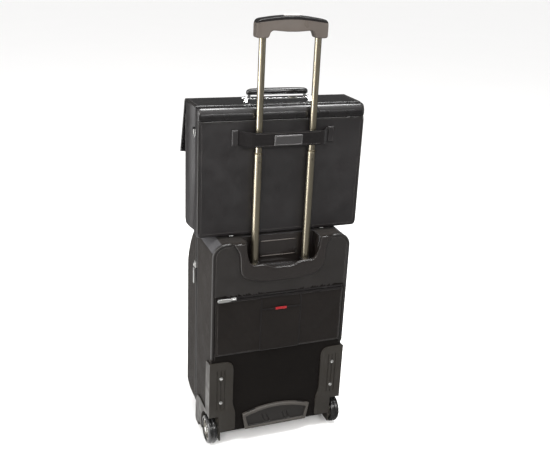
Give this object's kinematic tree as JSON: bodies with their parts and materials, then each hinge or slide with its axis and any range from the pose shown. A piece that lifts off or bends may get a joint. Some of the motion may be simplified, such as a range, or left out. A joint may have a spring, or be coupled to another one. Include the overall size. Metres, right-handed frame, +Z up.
{
  "type": "pilot rolling flight case",
  "caption": "Two-wheel fabric cabin case with telescopic handle, zip-open lid, pockets and a leather pilot briefcase strapped over the handle.",
  "frame": {"origin": "on the floor, in the middle of the width and depth", "axes": "+Z up, +Y towards the telescopic handle and wheels, -Y towards the lid and flap, +X towards the side with the zip slider"},
  "size_m": [0.417, 0.2644, 1.0965],
  "materials": {
    "nylon": "woven",
    "webbing": "woven",
    "pocket_nylon": "woven",
    "leather": "grained",
    "gloss_leather": "gloss",
    "housing_plastic": "moulded",
    "guard_plastic": "moulded",
    "bezel_plastic": "satin",
    "black_plastic": "satin",
    "grip_plastic": "satin",
    "aluminium": "anodised",
    "steel": "plated",
    "chrome": "polished",
    "tyre": "gloss",
    "hub_plastic": "silver",
    "gunmetal": "satin"
  },
  "bodies": {
    "case": {"case_shell": "nylon", "zip_tape_shell": "webbing", "hinge_strip": "webbing", "back_pocket": "pocket_nylon", "back_pocket_pouch": "pocket_nylon", "back_pocket_zip": "webbing", "skid_guard": "guard_plastic", "handle_bezel": "bezel_plastic", "recess_plate": "bezel_plastic", "tube_collars": "black_plastic", "tube_base": "housing_plastic", "top_handle": "leather", "wheel_housing_left": "housing_plastic", "wheel_housing_right": "housing_plastic", "housing_screw_lower_left": "steel", "housing_screw_lower_right": "steel", "housing_screw_upper_left": "steel", "housing_screw_upper_right": "steel", "axle_left": "steel", "axle_right": "steel", "fixed_tube_left": "aluminium", "fixed_tube_right": "aluminium"},
    "lid": {"lid_shell": "nylon", "zip_tape_lid": "webbing", "front_pocket": "pocket_nylon", "front_foot_left": "housing_plastic", "front_foot_right": "housing_plastic"},
    "front_slider": {"front_zip_slider": "steel"},
    "zip_slider": {"main_zip_slider": "steel"},
    "zip_puller": {"main_zip_puller": "steel"},
    "pocket_slider": {"back_zip_slider": "steel"},
    "pocket_puller": {"back_zip_puller": "steel"},
    "wheel_left": {"tyre_left": "tyre", "hub_left": "hub_plastic", "bearing_left": "steel"},
    "wheel_right": {"tyre_right": "tyre", "hub_right": "hub_plastic", "bearing_right": "steel"},
    "middle_stage": {"middle_tube_left": "aluminium", "middle_tube_right": "aluminium"},
    "upper_stage": {"upper_tube_left": "aluminium", "upper_tube_right": "aluminium", "grip_body": "grip_plastic", "grip_cap": "black_plastic", "button_spring": "steel"},
    "button": {"release_button": "grip_plastic"},
    "briefcase": {"briefcase_body": "leather", "briefcase_pocket": "leather", "trolley_strap": "webbing", "strap_plate": "gunmetal", "base_runner_left": "steel", "base_runner_right": "steel"},
    "flap": {"briefcase_flap": "gloss_leather", "flap_lock": "steel", "handle_bracket_left": "chrome", "handle_bracket_right": "chrome"},
    "carry_handle": {"carry_bar": "chrome", "carry_grip": "gloss_leather"},
    "ring_left": {"d_ring_left": "steel"},
    "ring_right": {"d_ring_right": "steel"}
  },
  "joints": [
    {"name": "lid_hinge", "type": "hinge", "parent": "case", "child": "lid", "pos_m": [-0.18, -0.02635, 0.3], "axis": [0, 0, -1], "range_deg": [0, 110]},
    {"name": "front_zip_run", "type": "slide", "parent": "lid", "child": "front_slider", "axis": [-1, 0, 0], "range_m": [0, 0.26]},
    {"name": "main_zip_run", "type": "slide", "parent": "case", "child": "zip_slider", "axis": [0, 0, -1], "range_m": [0, 0.34]},
    {"name": "main_puller_swing", "type": "hinge", "parent": "zip_slider", "child": "zip_puller", "pos_m": [0.188, -0.02635, 0.4523], "axis": [0, -1, 0], "range_deg": [0, 90]},
    {"name": "back_zip_run", "type": "slide", "parent": "case", "child": "pocket_slider", "axis": [-1, 0, 0], "range_m": [0, 0.27]},
    {"name": "back_puller_swing", "type": "hinge", "parent": "pocket_slider", "child": "pocket_puller", "pos_m": [0.1333, 0.1272, 0.424], "axis": [0, 0, 1], "range_deg": [0, 90]},
    {"name": "wheel_left_spin", "type": "hinge", "parent": "case", "child": "wheel_left", "pos_m": [0.174, 0.0942, 0.038], "axis": [1, 0, 0], "continuous": true},
    {"name": "wheel_right_spin", "type": "hinge", "parent": "case", "child": "wheel_right", "pos_m": [-0.174, 0.0942, 0.038], "axis": [1, 0, 0], "continuous": true},
    {"name": "middle_stage_slide", "type": "slide", "parent": "case", "child": "middle_stage", "axis": [0, 0, 1], "range_m": [-0.274, 0]},
    {"name": "upper_stage_slide", "type": "slide", "parent": "middle_stage", "child": "upper_stage", "axis": [0, 0, 1], "range_m": [-0.26, 0]},
    {"name": "button_press", "type": "slide", "parent": "upper_stage", "child": "button", "axis": [0, 0, -1], "range_m": [0, 0.003], "stiffness_N_per_m": 300, "springref_m": -0.002, "deforming": ["button_spring"]},
    {"name": "briefcase_lift", "type": "slide", "parent": "case", "child": "briefcase", "axis": [0, 0, 1], "range_m": [0, 0.34]},
    {"name": "flap_hinge", "type": "hinge", "parent": "briefcase", "child": "flap", "pos_m": [0, 0.05765, 0.8883], "axis": [-1, 0, 0], "range_deg": [0, 70]},
    {"name": "carry_handle_swing", "type": "hinge", "parent": "flap", "child": "carry_handle", "pos_m": [0, 0.0275, 0.8963], "axis": [1, 0, 0], "range_deg": [-50, 50]},
    {"name": "ring_left_swing", "type": "hinge", "parent": "briefcase", "child": "ring_left", "pos_m": [0.201, 0.0245, 0.8285], "axis": [0, -1, 0], "range_deg": [0, 80]},
    {"name": "ring_right_swing", "type": "hinge", "parent": "briefcase", "child": "ring_right", "pos_m": [-0.201, 0.0245, 0.8285], "axis": [0, 1, 0], "range_deg": [0, 80]}
  ]
}
